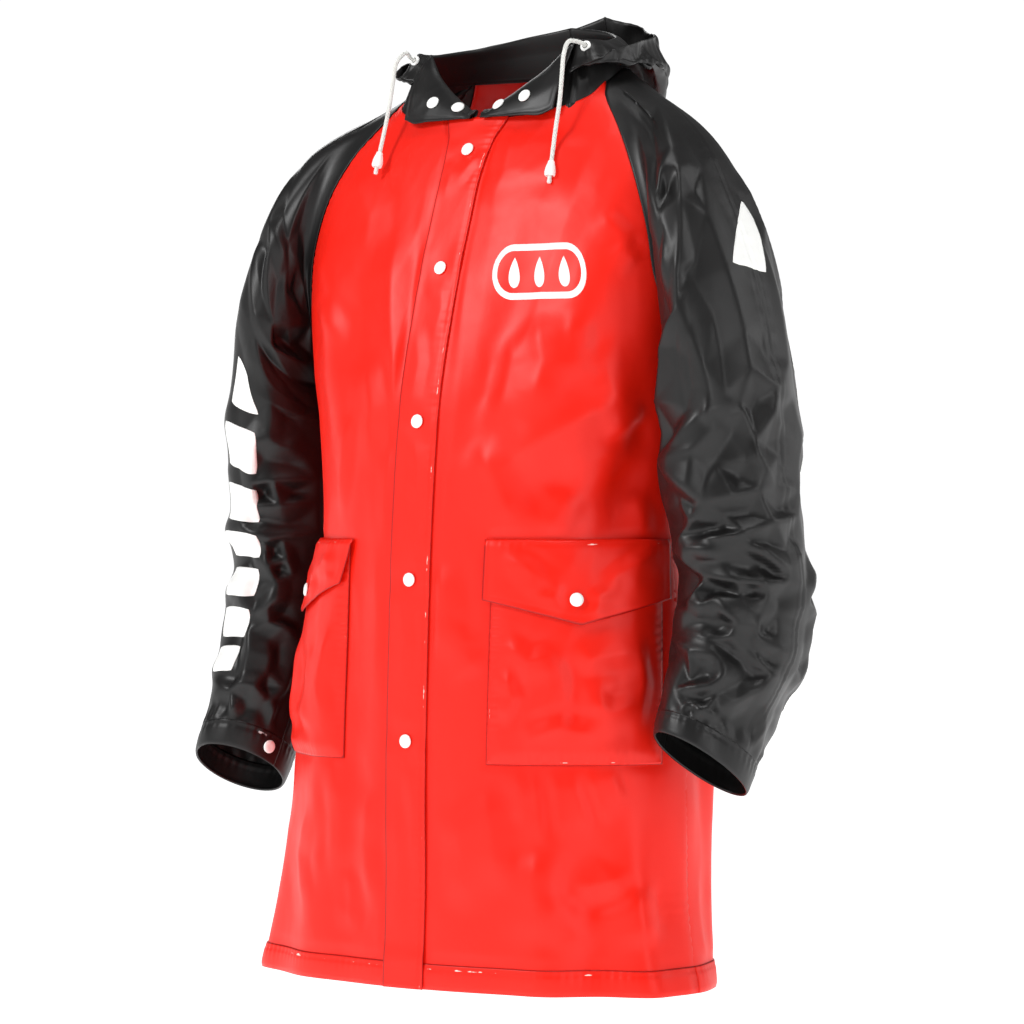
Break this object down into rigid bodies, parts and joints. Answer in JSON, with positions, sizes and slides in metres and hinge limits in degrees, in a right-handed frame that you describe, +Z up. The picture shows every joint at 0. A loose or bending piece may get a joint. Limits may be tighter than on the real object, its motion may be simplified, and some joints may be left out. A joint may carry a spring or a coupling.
{
  "type": "hooded raincoat",
  "caption": "Thigh-length hooded raincoat worn on no one: red body, black raglan sleeves, collar tabs and hood lying down, snapped placket, two flap pockets, free drawstring ends",
  "frame": {"origin": "the middle of the neck opening at the height of the shoulder line, where a wearer's or a form's shoulders hold the coat up", "axes": "+X to the wearer's left, -Y to the front, +Z up"},
  "size_m": [0.6817, 0.3642, 0.9667],
  "materials": {
    "red_film": "satin calendered PVC film",
    "black_film": "satin calendered PVC film",
    "white_acetal": "gloss moulded acetal",
    "white_braid": "braided polyester"
  },
  "bodies": {
    "root": {"front_left": "red_film", "hem_front_left": "red_film", "front_right": "red_film", "hem_front_right": "red_film", "back": "red_film", "hem_back": "red_film", "placket": "red_film", "snap_front_1": "white_acetal", "snap_front_2": "white_acetal", "snap_front_3": "white_acetal", "snap_front_4": "white_acetal", "snap_front_5": "white_acetal", "pocket_left": "red_film", "flap_left": "red_film", "snap_pocket_left": "white_acetal", "pocket_right": "red_film", "flap_right": "red_film", "snap_pocket_right": "white_acetal", "sleeve_front_left": "black_film", "sleeve_back_left": "black_film", "cuff_left": "black_film", "snap_cuff_left": "white_acetal", "sleeve_front_right": "black_film", "sleeve_back_right": "black_film", "cuff_right": "black_film", "snap_cuff_right": "white_acetal", "collar_left": "black_film", "snap_collar_left_1": "white_acetal", "snap_collar_left_2": "white_acetal", "collar_right": "black_film", "snap_collar_right_1": "white_acetal", "snap_collar_right_2": "white_acetal", "hood_left": "black_film", "eyelet_left": "white_acetal", "drawstring_left": "white_braid", "drawstring_tip_left": "white_acetal", "hood_right": "black_film", "eyelet_right": "white_acetal", "drawstring_right": "white_braid", "drawstring_tip_right": "white_acetal"}
  },
  "joints": []
}
